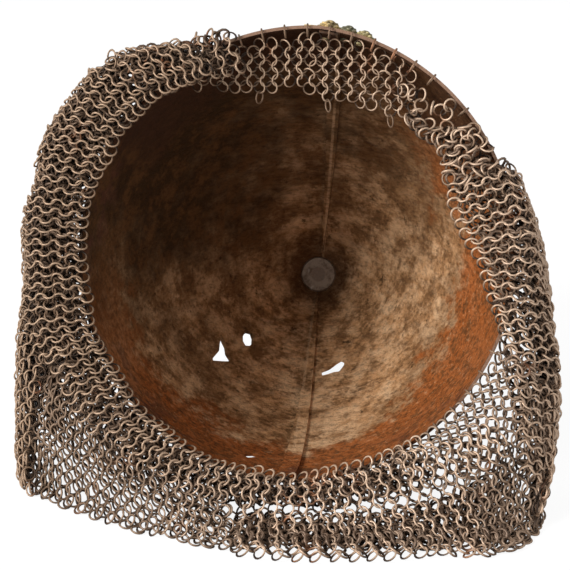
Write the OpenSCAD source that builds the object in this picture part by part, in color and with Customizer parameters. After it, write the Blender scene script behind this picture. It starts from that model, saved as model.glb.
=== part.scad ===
// Conical iron helmet lying on its back wall, with the mouth turned to the front and
// a mail skirt linked to its rim. Millimetres, +Z up, the mouth looks along -Y.
// The origin lies on the floor, below the middle of the whole.

/* [Skull] */
// Half width of the oval mouth, temple to temple
mouth_half_w = 110; // [108:0.5:112]
// Half length of the oval mouth, brow to nape
mouth_half_l = 115; // [114:0.5:118]
// Depth of the skull from rim to apex
skull_depth = 200; // [192:1:206]
// Thickness of the iron plate
plate_t = 1.6; // [1.4:0.1:1.8]
// Fullness of the shoulder, a higher value gives a rounder skull
shoulder_power = 1.9; // [1.85:0.05:1.95]
// Fullness of the tip
tip_power = 0.9; // [0.88:0.01:0.92]
// How far the left plate's edge passes the middle at the rim, over the right plate
lap_edge = 8.5; // [8:0.25:9]

/* [Attitude] */
// How far the mouth is tipped up from a level axis
tilt = 24; // [23:0.5:25]
// Roll of the brow about the helmet's axis, clockwise seen from the front
roll = 4; // [2:0.5:6]
// Height of the mouth's centre over the floor
centre_z = 120.5; // [120.4:0.1:124]

/* [Finial] */
// Radius of the finial's foot on the apex
foot_r = 21; // [18:0.5:24]
// Height of the finial above the apex
finial_h = 38; // [30:1:46]
// Diameter of the tang that passes through the apex
tang_d = 7; // [6:0.5:8]
// Diameter of the iron washer that closes the apex inside
washer_d = 21; // [19:0.5:22]

/* [Brow ornament] */
// Width of the brass plate along the brow
brow_w = 38; // [36:1:40]
// Height of the brass plate
brow_h = 15; // [13:0.5:17]
// Thickness of the brass plate
brow_t = 1.2; // [1:0.1:1.4]

/* [Mail] */
// Radius of a mail ring, measured to the middle of its wire
ring_r = 3.15; // [3.1:0.01:3.2]
// Radius of the wire of a mail ring
wire_r = 0.42; // [0.38:0.01:0.44]
// Pitch of the rings down a column
pitch = 7.4; // [7.35:0.05:7.6]
// Step from one column to the next
column_step = 3.2; // [3.1:0.05:3.25]
// Lean of the rings about their column, columns lean to and fro in turn
lean = 27; // [26:0.5:28]
// How far the front fringe can swing into the skull
swing_in = 20; // [10:1:22]
// Thickness of the draped skirt
skirt_t = 3; // [2.6:0.1:3.2]
// Depth of the skirt's small folds
fold_depth = 1.6; // [0:0.1:2]

/* [Rim rings] */
// Number of rim holes on each half of the skull
rim_count = 30; // [30:30]
// Diameter of a rim hole
rim_hole_d = 3; // [2.9:0.05:3.1]
// Distance of the rim holes from the edge
rim_hole_in = 3.5; // [3.4:0.05:3.6]
// Radius of a rim ring, measured to the middle of its wire
link_r = 3.2; // [3.15:0.01:3.25]

/* [Hidden] */
$fn = 64;

eps = 0.02;
iron = [0.35, 0.24, 0.17];
steel = [0.47, 0.43, 0.38];
gilt = [0.72, 0.56, 0.30];

// The oval mouth is two arcs of one radius, each about a centre beyond the middle plane
arc_r = (mouth_half_w + mouth_half_l * mouth_half_l / mouth_half_w) / 2;
arc_off = arc_r - mouth_half_w;
arc_gap = asin(arc_off / arc_r);
axis_lean = atan(arc_off / skull_depth);
centre_y = mouth_half_l * sin(tilt);
centre = [0, centre_y, centre_z];

// The parts are laid out from the floor point below the lowest point of the rim, and this
// moves them so that the origin is on the floor in the middle of the whole
stand = [2, -105.5, 0];

// Outer radius of a half at a depth from the rim, swollen by grow all over
function skull_r(h, grow = 0) =
    (arc_r + grow) * pow(1 - pow(max(h, 0) / (skull_depth + 1.3 * grow), shoulder_power), tip_power);

// Stations along the depth, closer together towards the tip
stations = 22;
function depth_at(i, grow) = (skull_depth + 1.3 * grow) * sin(90 * i / stations);
function profile(grow) =
    concat([for (i = [0:stations - 1]) [skull_r(depth_at(i, grow), grow), depth_at(i, grow)]],
           [[0, skull_depth + 1.3 * grow]]);

// Puts what is drawn in the helmet's own frame in its place: X right, -Y brow, +Z apex
module in_helmet() {
    translate(stand + centre) rotate([-(90 + tilt), 0, 0]) rotate([0, 0, roll]) children();
}

// Puts what is drawn about one half's own axis in the helmet's frame, side is 1 or -1
module half_axis(side) {
    translate([-side * arc_off, 0, 0]) rotate([0, side * axis_lean, 0]) children();
}

// A solid dome of one half, cut at the mouth and at the middle plane
module half_dome(side, grow) {
    big = 3 * skull_depth;
    intersection() {
        half_axis(side) rotate_extrude($fn = 180)
            polygon(concat([[0, -12], [arc_r + grow, -12]], profile(grow)));
        translate([side > 0 ? 0 : -big, -big / 2, 0]) cube([big, big, big]);
    }
}

// A shell between two offsets of one half's outer face
module half_shell(side, outer, inner) {
    difference() {
        half_dome(side, outer);
        half_axis(side) rotate_extrude($fn = 180)
            polygon(concat([[0, -14], [arc_r + inner, -14]], profile(inner)));
    }
}

// Angles of the rim holes on the right half about its own arc centre
rim_step = (180 - 2 * arc_gap) / rim_count;
function rim_angle(k) = -90 + arc_gap + (k + 0.5) * rim_step;

// Places children at rim hole k: X outwards, Z towards the apex, side -1 mirrors it
module at_rim(k, side) {
    mirror([side > 0 ? 0 : 1, 0, 0])
        translate([-arc_off, 0, 0]) rotate([0, 0, rim_angle(k)])
            translate([arc_r - plate_t / 2, 0, 0]) children();
}

module rim_holes() {
    for (side = [-1, 1]) for (k = [0:rim_count - 1])
        at_rim(k, side) translate([0, 0, rim_hole_in])
            rotate([0, 90, 0]) cylinder(d = rim_hole_d, h = 12, center = true, $fn = 24);
}

// Rust-through holes: angle from +X about the axis, depth from the rim, outline
module rust_hole(angle, depth, outline) {
    rotate([0, 0, -angle]) translate([20, 0, depth]) rotate([90, 0, 90])
        linear_extrude(110) polygon(outline);
}

module rust_holes() {
    rust_hole(-130.8, 121.5, [[8, 7.7], [1.2, 5.6], [-2.3, 2.7], [-6, 1.7], [-7, -0.5], [-0.9, -9.9],
                              [0.2, -9], [1.5, -1.1], [4.6, 2.9]]);
    rust_hole(-128, 142.7, [[3.7, 1.2], [3.2, 3.4], [1.2, 5], [-1.7, 3.4], [-3.8, 0.7], [-4.1, -2.9],
                            [-2.3, -4.9], [0.6, -3.9], [2.7, -1.8]]);
    rust_hole(-72.4, 139.9, [[7.5, -4.2], [7.5, 0.5], [2.9, 1.8], [-1.6, 4.4], [-4.6, 5.4], [-6.8, 3],
                             [-5.9, -0.3], [-2.6, -3.9], [0.4, -3.2], [4.4, -3.9]]);
    rust_hole(49.3, 163.1, [[-1.3, -0.2], [-0.2, -1.2], [1.2, 0.2], [0.2, 1.2]]);
    rust_hole(-98.8, 45.3, [[3.7, -3.8], [2.3, 0.9], [-0.5, 3.9], [-3.2, 4], [-2.8, -0.2], [0.7, -4.9]]);
}

// A spot on the brow x along the right plate's arc: origin on the plate, Z square out of it
brow_mid_h = 13;
brow_lean = atan((skull_r(brow_mid_h - 1) - skull_r(brow_mid_h + 1)) / 2);
module brow_spot(x) {
    half_axis(1) rotate([0, 0, -90 + x / arc_r * 57.3])
        translate([skull_r(brow_mid_h), 0, brow_mid_h]) rotate([0, 90 - brow_lean, 0]) children();
}

// Holes through the skull for the tang and the rosettes' shanks
shank_r = 1.5;
rivet_gap = 0.05;
head_gap = 0.15;
rosette_x = [8.2, 17.6, 25.5];
module shank_holes() {
    for (x = rosette_x)
        brow_spot(x) cylinder(r = shank_r, h = 24, center = true, $fn = 32);
}
module tang_hole() {
    cylinder(d = tang_d + 0.1, h = 2 * skull_depth, $fn = 48);
}

// Everything left of the lap's edge, which runs from the rim to the apex
module left_of_lap(gap) {
    beyond = 20;
    far = 1.5 * arc_r;
    rotate([90, 0, 0]) linear_extrude(2 * far, center = true)
        polygon([[-far, -beyond], [lap_edge * (1 + beyond / skull_depth) + gap, -beyond],
                 [gap, skull_depth], [gap, skull_depth + beyond], [-far, skull_depth + beyond]]);
}

module skull_left() {
    color(iron) in_helmet() difference() {
        union() {
            half_shell(-1, 0, -plate_t);
            intersection() {
                half_shell(1, 0, -plate_t);
                left_of_lap(0);
            }
        }
        rim_holes();
        rust_holes();
        tang_hole();
        shank_holes();
    }
}

// Inner tongue of the right plate, joggled under the left one at brow and nape
tongue_t = 1.2;
joggle = 0.5;
lap_gap = 0.3;
tongue_from = 0.15;
tongue_to = 5;
module tongue() {
    under = -plate_t - joggle;
    big = 4 * arc_r;
    difference() {
        half_axis(1) rotate([0, 0, -90 + arc_gap + tongue_from])
            rotate_extrude(angle = tongue_to - tongue_from, $fn = 180)
                polygon(concat(profile(-plate_t + 0.1),
                               [for (p = [stations:-1:0]) profile(under - tongue_t)[p]]));
        intersection() {
            half_shell(1, 1, under);
            left_of_lap(lap_gap);
        }
        translate([-big / 2, -big / 2, 1 - big]) cube(big);
        translate([-big / 2, -big / 2, skull_depth - 14]) cube(big);
    }
}

module skull_right() {
    color(iron) in_helmet() difference() {
        union() {
            difference() {
                half_shell(1, 0, -plate_t);
                left_of_lap(lap_gap);
            }
            tongue();
            mirror([0, 1, 0]) tongue();
        }
        rim_holes();
        rust_holes();
        tang_hole();
        shank_holes();
    }
}

// Turned finial: foot, waist, knob and spike, with its tang peened flush in the washer
washer_h = skull_depth - 11.2;
washer_t = 2;
sink_t = 1;
module finial() {
    tip = skull_depth + finial_h;
    color(iron) in_helmet() {
        difference() {
            rotate_extrude($fn = 96)
                polygon([[0, skull_depth - 30], [foot_r, skull_depth - 30], [foot_r, skull_depth - 11],
                         [foot_r - 3, skull_depth - 8], [13, skull_depth - 1], [7, skull_depth + 3],
                         [5, skull_depth + 6], [7, skull_depth + 8], [9, skull_depth + 12],
                         [9, skull_depth + 15], [7, skull_depth + 19], [4, skull_depth + 22],
                         [3, skull_depth + 25], [1, tip - 1], [0, tip]]);
            half_dome(1, 0);
            half_dome(-1, 0);
        }
        rotate_extrude($fn = 48)
            polygon([[0, washer_h], [tang_d / 2 + sink_t, washer_h], [tang_d / 2, washer_h + sink_t],
                     [tang_d / 2, skull_depth + 4], [0, skull_depth + 4]]);
    }
}

module apex_washer() {
    color([0.42, 0.40, 0.37]) in_helmet() difference() {
        rotate_extrude($fn = 96)
            polygon([[tang_d / 2 + sink_t + 0.03, washer_h], [washer_d / 2 - 0.8, washer_h],
                     [washer_d / 2, washer_h + 0.8], [washer_d / 2 - 1, washer_h + washer_t],
                     [tang_d / 2 + 0.03, washer_h + washer_t], [tang_d / 2 + 0.03, washer_h + sink_t]]);
    }
}

// Brass plate with a scalloped upper edge, bent to the right plate's arc
brow_lobes = 3;
brow_foot = 0.6;
brow_from_rim = 6;
brow_shift = 11;
lobe_points = 8;
function brow_edge(i, t) =
    [-brow_w / 2 + (i + t) * brow_w / brow_lobes, brow_h * (brow_foot + (1 - brow_foot) * sin(180 * t))];
module brow_outline() {
    polygon(concat([[-brow_w / 2, 0], [brow_w / 2, 0]],
                   [for (i = [brow_lobes - 1:-1:0]) for (j = [lobe_points - 1:-1:0])
                       brow_edge(i, (j + 0.5) / lobe_points)]));
}

module brow_plate() {
    spread = (brow_w / 2 + brow_shift + 6) / arc_r * 57.3;
    rows = [for (h = [brow_from_rim - 2:4:brow_from_rim + brow_h + 3]) h];
    back = [for (i = [len(rows) - 1:-1:0]) [skull_r(rows[i]) + eps, rows[i]]];
    color(gilt) in_helmet() difference() {
        intersection() {
            half_axis(1) rotate([0, 0, -90 - spread]) rotate_extrude(angle = 2 * spread, $fn = 180)
                polygon(concat([for (h = rows) [skull_r(h) + brow_t, h]], back));
            translate([brow_shift, 0, brow_from_rim]) rotate([90, 0, 0])
                linear_extrude(2 * arc_r) brow_outline();
        }
        shank_holes();
    }
}

// A domed rosette on a petalled foot, its shank riveted over inside below what it grips
module rosette(x, dome_r, grip, tint) {
    seat = brow_t + eps;
    petals = 6;
    foot_t = 0.9;
    head_t = 1;
    under = grip + head_gap;
    color(tint) in_helmet() brow_spot(x) {
        translate([0, 0, seat]) {
            for (i = [0:petals - 1]) rotate([0, 0, i * 360 / petals])
                translate([dome_r * 0.72, 0, 0]) cylinder(r = dome_r * 0.42, h = foot_t, $fn = 32);
            cylinder(r = dome_r * 0.8, h = foot_t, $fn = 48);
        }
        translate([0, 0, seat + foot_t / 2]) intersection() {
            sphere(r = dome_r * 0.75, $fn = 48);
            cylinder(r = dome_r, h = dome_r, $fn = 48);
        }
        translate([0, 0, -under - head_t]) {
            cylinder(r = shank_r - rivet_gap, h = under + head_t + seat + foot_t / 2, $fn = 32);
            cylinder(r = shank_r + 0.5, h = head_t, $fn = 32);
        }
    }
}

module rosette_left() { rosette(rosette_x[0], 4.3, plate_t + joggle + tongue_t, gilt); }
module rosette_centre() { rosette(rosette_x[1], 3.9, plate_t, [0.42, 0.42, 0.34]); }
module rosette_right() { rosette(rosette_x[2], 2.8, plate_t, [0.66, 0.58, 0.34]); }

// One ring about the Z axis
module ring(radius) {
    rotate_extrude($fn = 48) translate([radius, 0]) circle(r = wire_r, $fn = 24);
}

// A ring through a rim hole, drawn outwards (1) or inwards (-1) by the mail it carries
rim_pull = 1.6;
web_mid = 1;
module rim_ring(k, side, pull) {
    at_rim(k, side) translate([pull * rim_pull, 0, web_mid]) rotate([90, 0, 0]) ring(link_r);
}

// The stretches of the rim, as hole numbers counted from the brow to the nape
front_right = [0:4];
front_left = [0:5];
inner_right = [5, 7, 9, 10, 11];
outer_right = [12:21];
outer_left = [6:20];
nape_right = [22:28];
nape_left = [21:29];

// The ring through the nape's lap goes round the tongue too, so it hangs further in
lap_ring = 29;
lap_pull = -0.4;

module rim_rings_front() {
    color(steel) in_helmet() {
        for (k = front_right) rim_ring(k, 1, -1);
        for (k = front_left) rim_ring(k, -1, -1);
    }
}
module rim_rings_left() {
    color(steel) in_helmet() for (k = outer_left) rim_ring(k, -1, 1);
}
module rim_rings_right() {
    color(steel) in_helmet() {
        for (k = inner_right) rim_ring(k, 1, -1);
        for (k = outer_right) rim_ring(k, 1, 1);
    }
}
module rim_rings_nape() {
    color(steel) in_helmet() {
        for (k = nape_right) rim_ring(k, 1, 1);
        for (k = nape_left) rim_ring(k, -1, 1);
        rim_ring(lap_ring, 1, lap_pull);
    }
}

// A point of the rim at an angle seen from the front, dr outside the plate, h towards the apex
function rim_reach(p, dr) =
    let (side = cos(p) >= 0 ? 1 : -1, b = -side * arc_off * cos(p), r = arc_r + dr)
    b + sqrt(b * b - arc_off * arc_off + r * r);
function rim_point(a, dr, h) =
    let (t = rim_reach(a + roll, dr), v = t * sin(a))
    centre + [t * cos(a), v * sin(tilt) + h * cos(tilt), v * cos(tilt) - h * sin(tilt)];

// Sections of the draped skirt: angle along the rim, how far outside the plate and behind
// its edge the skirt starts, and the way down from there. On the right it starts inside the
// mouth, in front of the rim, and lies over the rim to the outside.
SECTIONS = [
    [126, 6.4, -1, [[-88, 79, 217], [-95, 96, 214], [-92, 116, 190], [-90, 134, 168], [-90, 152, 146]]],
    [150, 6.4, -1, [[-119, 69, 178], [-130, 84, 169], [-131, 98, 130], [-131, 102, 80], [-131, 98, 40]]],
    [180, 6.4, -1, [[-134, 43, 125], [-139, 56, 112], [-139, 56, 50], [-139, 42, 4], [-137, 20, 1]]],
    [205, 6.4, -1, [[-121, 20, 81], [-132, 24, 67], [-137, 20, 25], [-134, 10, 3], [-118, -4, 1]]],
    [230, 6.4, -1, [[-87, 0, 43], [-98, -5, 29], [-104, -9, 9], [-103, -17, 1], [-91, -26, 1]]],
    [250, 6.4, -1, [[-43, -10, 23], [-51, -18, 12], [-57, -26, 4], [-57, -34, 1], [-48, -41, 1]]],
    [270, 6.4, -1, [[0, -12, 16], [0, -19, 9], [2, -28, 3], [3, -38, 1], [6, -49, 1]]],
    [290, 6.4, -1, [[44, -10, 23], [50, -17, 12], [57, -26, 4], [61, -34, 1], [66, -43, 1]]],
    [310, 6.4, -1, [[84, -1, 41], [95, -7, 27], [102, -14, 9], [108, -24, 1], [106, -36, 1]]],
    [330, 6.4, -1, [[112, 10, 66], [121, 10, 58], [128, 10, 30], [130, -2, 4], [124, -20, 1]]],
    [340, 6.4, -6, [[117, 16, 86], [126, 24, 78], [131, 32, 50], [132, 22, 6], [130, 0, 1]]],
    [350, -11, -6, [[104, 33, 106], [115, 33, 104], [127, 44, 94], [132, 43, 44], [132, 26, 2]]],
    [360, -19, -6, [[101, 41, 123], [115, 41, 123], [122, 52, 112], [131, 57, 60], [132, 48, 8]]],
    [370, -26, -6, [[98, 48, 139], [113, 49, 141], [118, 61, 128], [130, 70, 84], [132, 64, 20]]],
    [382, -27, -6, [[91, 56, 157], [106, 58, 162], [113, 71, 146], [124, 84, 108], [129, 82, 48]]],
    [392, -26, -6, [[83, 62, 171], [95, 64, 178], [105, 76, 162], [115, 92, 134], [122, 98, 88]]],
];
steps = 5;

// Catmull-Rom blend of four points
function blend(a, b, c, d, t) =
    0.5 * (2 * b + (c - a) * t + (2 * a - 5 * b + 4 * c - d) * t * t + (3 * b - a - 3 * c + d) * t * t * t);
function along(points, t) =
    let (n = len(points) - 1, i = min(floor(t), n - 1), f = t - i,
         before = i > 0 ? points[i - 1] : 2 * points[0] - points[1],
         after = i + 2 <= n ? points[i + 2] : 2 * points[n] - points[n - 1])
    blend(before, points[i], points[i + 1], after, f);

// Section index for an angle along the rim, and the skirt's own path there
function section_index(a, i = 0) =
    i >= len(SECTIONS) - 2 || a <= SECTIONS[i + 1][0]
        ? i + (a - SECTIONS[i][0]) / (SECTIONS[i + 1][0] - SECTIONS[i][0])
        : section_index(a, i + 1);
function skirt_start(a) =
    let (s = section_index(a), i = min(floor(s), len(SECTIONS) - 2), f = s - i)
    rim_point(a, SECTIONS[i][1] * (1 - f) + SECTIONS[i + 1][1] * f,
              SECTIONS[i][2] * (1 - f) + SECTIONS[i + 1][2] * f);
function skirt_path(a) =
    concat([skirt_start(a)],
           [for (j = [0:steps - 1]) along([for (s = SECTIONS) s[3][j]], section_index(a))]);

// The skirt's middle surface, which nowhere sinks deeper than its own half thickness
function lifted(p) = [p.x, p.y, max(p.z, skirt_t / 2 - 0.5)];

// Small folds fade out at the rim and where the skirt lies on the floor
function fold(a, q, z) = fold_depth * sin(14 * a) * min(1, q / 2) * max(0, min(1, (z - 6) / 30));

function unit(v) = v / norm(v);
function grid_normal(g, i, j) =
    let (m = len(g) - 1, n = len(g[0]) - 1,
         u = g[min(i + 1, m)][j] - g[max(i - 1, 0)][j],
         v = g[i][min(j + 1, n)] - g[i][max(j - 1, 0)])
    unit(cross(u, v));

// A panel of the skirt between two angles, as a closed sheet with a ridge on every second
// line of its grid. A netted panel has rows of openings instead.
module skirt_panel(a0, a1, cols, rows, netted = false) {
    base = [for (i = [0:cols]) let (a = a0 + (a1 - a0) * i / cols, path = skirt_path(a))
            [for (j = [0:rows]) lifted(along(path, steps * j / rows))]];
    wavy = [for (i = [0:cols]) [for (j = [0:rows])
            base[i][j] + grid_normal(base, i, j)
                * fold(a0 + (a1 - a0) * i / cols, steps * j / rows, base[i][j].z)]];
    function ridge(i) = netted ? 0 : (i % 2 == 0 ? -1 : 1) * ridge_h / 2;
    top = [for (i = [0:cols]) for (j = [0:rows])
           wavy[i][j] + grid_normal(wavy, i, j) * (skirt_t / 2 + ridge(i))];
    under = [for (i = [0:cols]) for (j = [0:rows]) wavy[i][j] - grid_normal(wavy, i, j) * skirt_t / 2];
    n = (cols + 1) * (rows + 1);
    function at(i, j) = i * (rows + 1) + j;
    function kept(i, j) =
        i >= 0 && i < cols && j >= 0 && j < rows && !(netted && i % 2 == 1 && j % net_rows >= net_rows / 2);
    cells = [for (i = [0:cols - 1]) for (j = [0:rows - 1]) if (kept(i, j)) [i, j]];
    function corners(c) = [at(c[0], c[1]), at(c[0] + 1, c[1]), at(c[0] + 1, c[1] + 1), at(c[0], c[1] + 1)];
    upper_faces = [for (c = cells) let (k = corners(c))
                   for (t = [[k[0], k[2], k[1]], [k[0], k[3], k[2]]]) t];
    lower_faces = [for (c = cells) let (k = corners(c))
                   for (t = [[k[0], k[1], k[2]], [k[0], k[2], k[3]]]) [for (v = t) v + n]];
    border = [for (c = cells) let (k = corners(c), i = c[0], j = c[1])
              for (e = [[kept(i, j - 1), k[0], k[1]], [kept(i + 1, j), k[1], k[2]],
                        [kept(i, j + 1), k[2], k[3]], [kept(i - 1, j), k[3], k[0]]])
                  if (!e[0]) [e[1], e[2]]];
    sides = [for (e = border) for (t = [[e[0], e[1], e[1] + n], [e[0], e[1] + n, e[0] + n]]) t];
    above_floor = [for (p = concat(top, under)) [p.x, p.y, max(p.z, 0)]];
    translate(stand) polyhedron(points = above_floor, faces = concat(upper_faces, lower_faces, sides));
}

panel_gap = 0.3;
ridge_h = 1.3;
net_rows = 4;
module mail_left_temple() { color(steel) skirt_panel(126, 160 - panel_gap, 11, 24, netted = true); }
module mail_left_cheek() {
    color(steel) skirt_panel(160 + panel_gap, 215 - panel_gap, 15, 24, netted = true);
}
module mail_right_cheek() { color(steel) skirt_panel(322 + panel_gap, 362 - panel_gap, 24, 14); }
module mail_right_temple() { color(steel) skirt_panel(362 + panel_gap, 392, 18, 14); }

module mail_nape() { color(steel) skirt_panel(215 + panel_gap, 322 - panel_gap, 25, 14, netted = true); }

// Front fringe: a lattice of linked rings that hangs below the brow's rim rings, in columns
// that end at the torn edge, given as points of x and height
fringe_y = rim_point(90, -plate_t / 2 - rim_pull, web_mid).y;
hinge_z = rim_point(90, -plate_t / 2 - rim_pull, web_mid).z;
fringe_cols = 35;
fringe_rows = 6;
torn_edge = [[-56, 200], [-40, 191], [-18, 190], [-5, 197], [10, 188], [34, 184], [56, 179]];
ring_half = ring_r + wire_r;

// Height of the skull's inner wall over the helmet's axis at the mouth, x from the middle
function wall_v(x) =
    let (own = x - mouth_half_l * sin(roll), r = arc_r - plate_t)
    sqrt(r * r - pow(abs(own) + arc_off, 2)) * cos(roll) - own * sin(roll);
function wall_drop(x) = wall_v(0) - wall_v(x);

// How far below its hinge the fringe starts at x, clear of the rim rings and, when it
// swings in, of the skull's wall
function fringe_top(x) =
    max(wall_drop(x) * cos(tilt) + link_r + wire_r + 0.4,
        (wall_drop(x) + wire_r + 0.7) / cos(tilt + swing_in));
function ring_x(i) = (i - (fringe_cols - 1) / 2) * column_step;
function ring_z(i, j) =
    hinge_z - link_r - wire_r - 0.5 - ring_half - (j + (i % 2 == 0 ? 0 : 0.5)) * pitch;
function ring_hangs(i, j) =
    let (x = ring_x(i), z = ring_z(i, j), reach = ring_r * cos(lean) + wire_r)
    hinge_z - z - ring_half > max(fringe_top(x - reach), fringe_top(x), fringe_top(x + reach))
        && z - ring_half > lookup(x, torn_edge) - pitch / 2;
function ring_turn(i) = i % 2 == 0 ? -lean : lean;

module front_mail() {
    color(steel) for (i = [0:fringe_cols - 1]) for (j = [0:fringe_rows - 1]) if (ring_hangs(i, j))
        translate(stand + [ring_x(i), fringe_y, ring_z(i, j)])
            rotate([0, 0, ring_turn(i)]) rotate([90, 0, 0]) ring(ring_r);
}

// A single ring that hangs free from the lowest ring of a column, square to its wire there
dangling_at = [10, 21, 31];
hang_gap = 0.06;
function last_row(i, j = fringe_rows - 1) = ring_hangs(i, j) ? j : last_row(i, j - 1);
module dangling_ring(i) {
    low_z = ring_z(i, last_row(i)) - ring_r;
    color(steel) translate(stand + [ring_x(i), fringe_y, low_z - (ring_r - 2 * wire_r - hang_gap)])
        rotate([0, 0, ring_turn(i)]) rotate([0, 90, 0]) ring(ring_r);
}
module dangling_ring_left() { dangling_ring(dangling_at[0]); }
module dangling_ring_centre() { dangling_ring(dangling_at[1]); }
module dangling_ring_right() { dangling_ring(dangling_at[2]); }

skull_left();
skull_right();
finial();
apex_washer();
brow_plate();
rosette_left();
rosette_centre();
rosette_right();
rim_rings_front();
rim_rings_left();
rim_rings_right();
rim_rings_nape();
mail_left_temple();
mail_left_cheek();
mail_nape();
mail_right_cheek();
mail_right_temple();
front_mail();
dangling_ring_left();
dangling_ring_centre();
dangling_ring_right();
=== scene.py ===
"""Looks of a conical iron helmet that lies on its back wall, with its mail skirt and fringe.

Everything is in metres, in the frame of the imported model: +Z up, the mouth looks along -Y.
"""

import logging
import math
from dataclasses import dataclass, field
from enum import Enum
from functools import partial

import bpy
import numpy as np
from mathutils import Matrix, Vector


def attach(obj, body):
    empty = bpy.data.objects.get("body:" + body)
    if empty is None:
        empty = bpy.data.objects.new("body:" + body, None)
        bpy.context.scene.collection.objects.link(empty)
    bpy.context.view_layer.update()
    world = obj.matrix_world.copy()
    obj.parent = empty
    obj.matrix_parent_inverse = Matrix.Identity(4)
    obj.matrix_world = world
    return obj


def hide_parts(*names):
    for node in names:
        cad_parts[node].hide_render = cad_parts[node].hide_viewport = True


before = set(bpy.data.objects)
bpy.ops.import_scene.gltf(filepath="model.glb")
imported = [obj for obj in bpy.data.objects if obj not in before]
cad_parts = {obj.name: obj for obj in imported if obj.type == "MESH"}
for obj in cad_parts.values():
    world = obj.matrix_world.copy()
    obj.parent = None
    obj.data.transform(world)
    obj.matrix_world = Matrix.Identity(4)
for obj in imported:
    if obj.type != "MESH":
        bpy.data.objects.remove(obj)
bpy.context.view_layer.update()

log = logging.getLogger("helmet")
MM = 0.001
Array = np.ndarray
Colour = tuple[float, float, float]
Point = tuple[float, float, float]
RIGHT = np.array([1.0, 0.0, 0.0])
UP = np.array([0.0, 0.0, 1.0])


# Shader maths


class Sock:
    """A number socket in a node tree, on which Python's operators add Math nodes."""

    def __init__(self, graph: "Graph", socket: bpy.types.NodeSocket) -> None:
        """Wraps an output socket of graph."""
        self.graph = graph
        self.socket = socket

    def math(self, operation: str, *values: "Sock | float") -> "Sock":
        """Adds a Math node.

        Args:
            operation: the Math node's operation.
            values: what goes into its inputs, in order.
        Returns:
            The node's result.
        """
        made = self.graph.add("ShaderNodeMath", {"operation": operation}, dict(enumerate(values)))
        return Sock(self.graph, made.outputs[0])

    def __add__(self, other: "Sock | float") -> "Sock":
        """Sum."""
        return self.math("ADD", self, other)

    __radd__ = __add__

    def __sub__(self, other: "Sock | float") -> "Sock":
        """Difference."""
        return self.math("SUBTRACT", self, other)

    def __rsub__(self, other: "Sock | float") -> "Sock":
        """Difference, the other way round."""
        return self.math("SUBTRACT", other, self)

    def __mul__(self, other: "Sock | float") -> "Sock":
        """Product."""
        return self.math("MULTIPLY", self, other)

    __rmul__ = __mul__

    def __truediv__(self, other: "Sock | float") -> "Sock":
        """Quotient."""
        return self.math("DIVIDE", self, other)

    def __pow__(self, other: "Sock | float") -> "Sock":
        """Power."""
        return self.math("POWER", self, other)

    def over(self, other: "Sock | float") -> "Sock":
        """The larger of two values."""
        return self.math("MAXIMUM", self, other)

    def size(self) -> "Sock":
        """Absolute value."""
        return self.math("ABSOLUTE", self)

    def step(self, low: float, high: float) -> "Sock":
        """A smooth step.

        Args:
            low: value at which the step is 0.
            high: value at which it is 1. It may be below low.
        Returns:
            The step, clamped to 0 to 1.
        """
        start, end = (0.0, 1.0) if low < high else (1.0, 0.0)
        made = self.graph.add(
            "ShaderNodeMapRange",
            {"interpolation_type": "SMOOTHSTEP"},
            {0: self, 1: min(low, high), 2: max(low, high), 3: start, 4: end},
        )
        return Sock(self.graph, made.outputs[0])


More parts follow.
